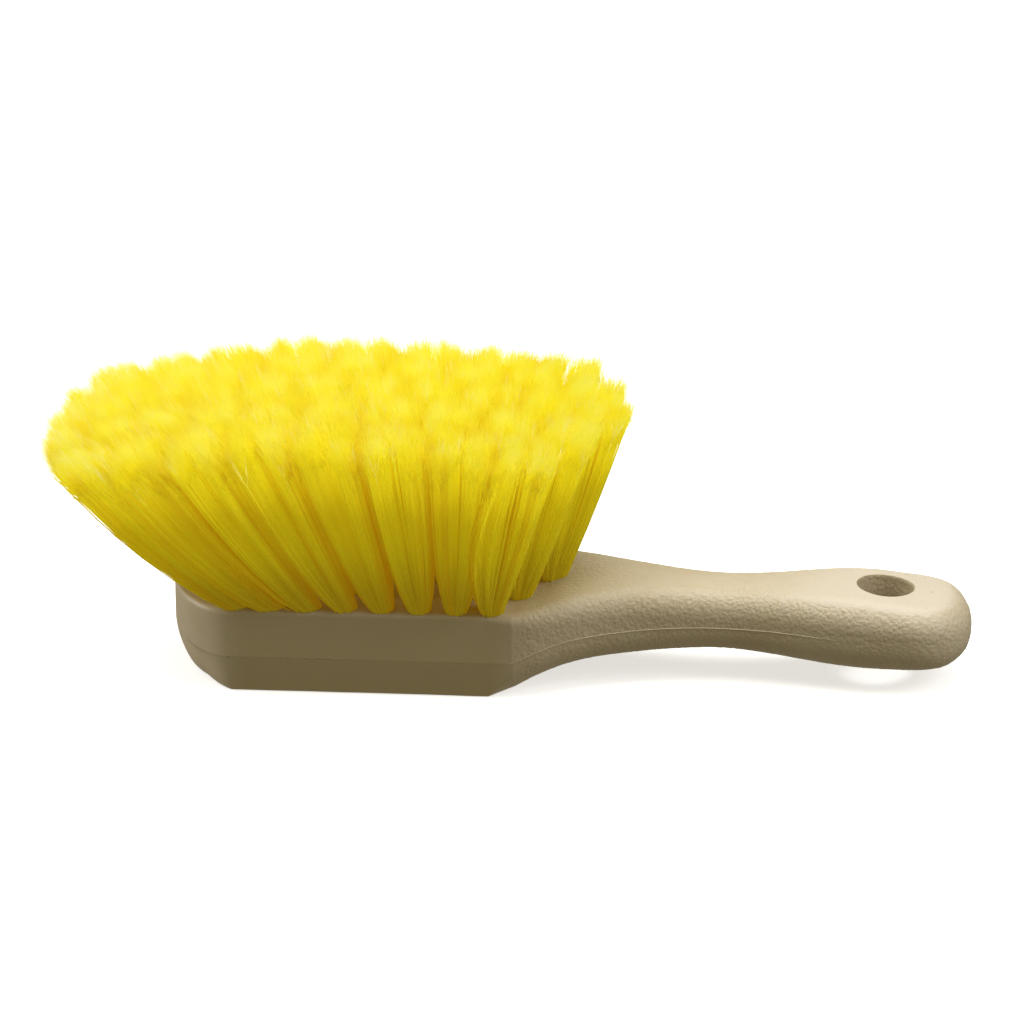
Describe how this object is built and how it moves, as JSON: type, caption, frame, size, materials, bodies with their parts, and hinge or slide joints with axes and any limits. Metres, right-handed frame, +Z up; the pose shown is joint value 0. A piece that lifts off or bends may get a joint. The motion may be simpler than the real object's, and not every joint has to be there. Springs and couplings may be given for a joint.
{
  "type": "wheel brush",
  "caption": "Short-handled brush for washing wheels: a one-piece moulded block and handle with a hanging hole, set with rows of long flared bristle tufts.",
  "frame": {"origin": "under the middle of the brush's whole length, on its plane of symmetry, level with the flat back of the block", "axes": "+X along the brush, from the nose to the handle's end; +Z up out of the bristle face; +Y across"},
  "size_m": [0.253, 0.0872, 0.0802],
  "materials": {
    "block_plastic": "satin, finely pebbled on the handle",
    "bristle": "translucent filament, flagged at the tips"
  },
  "bodies": {
    "root": {"handle_block": "block_plastic", "tuft_row1_01": "bristle", "tuft_row1_02": "bristle", "tuft_row1_03": "bristle", "tuft_row1_04": "bristle", "tuft_row1_05": "bristle", "tuft_row1_06": "bristle", "tuft_row1_07": "bristle", "tuft_row1_08": "bristle", "tuft_row2_01": "bristle", "tuft_row2_02": "bristle", "tuft_row2_03": "bristle", "tuft_row2_04": "bristle", "tuft_row2_05": "bristle", "tuft_row2_06": "bristle", "tuft_row2_07": "bristle", "tuft_row2_08": "bristle", "tuft_row2_09": "bristle", "tuft_row2_10": "bristle", "tuft_row3_01": "bristle", "tuft_row3_02": "bristle", "tuft_row3_03": "bristle", "tuft_row3_04": "bristle", "tuft_row3_05": "bristle", "tuft_row3_06": "bristle", "tuft_row3_07": "bristle", "tuft_row3_08": "bristle", "tuft_row3_09": "bristle", "tuft_row3_10": "bristle", "tuft_row3_11": "bristle", "tuft_row4_01": "bristle", "tuft_row4_02": "bristle", "tuft_row4_03": "bristle", "tuft_row4_04": "bristle", "tuft_row4_05": "bristle", "tuft_row4_06": "bristle", "tuft_row4_07": "bristle", "tuft_row4_08": "bristle", "tuft_row4_09": "bristle", "tuft_row4_10": "bristle", "tuft_row5_01": "bristle", "tuft_row5_02": "bristle", "tuft_row5_03": "bristle", "tuft_row5_04": "bristle", "tuft_row5_05": "bristle", "tuft_row5_06": "bristle", "tuft_row5_07": "bristle", "tuft_row5_08": "bristle"}
  },
  "joints": []
}
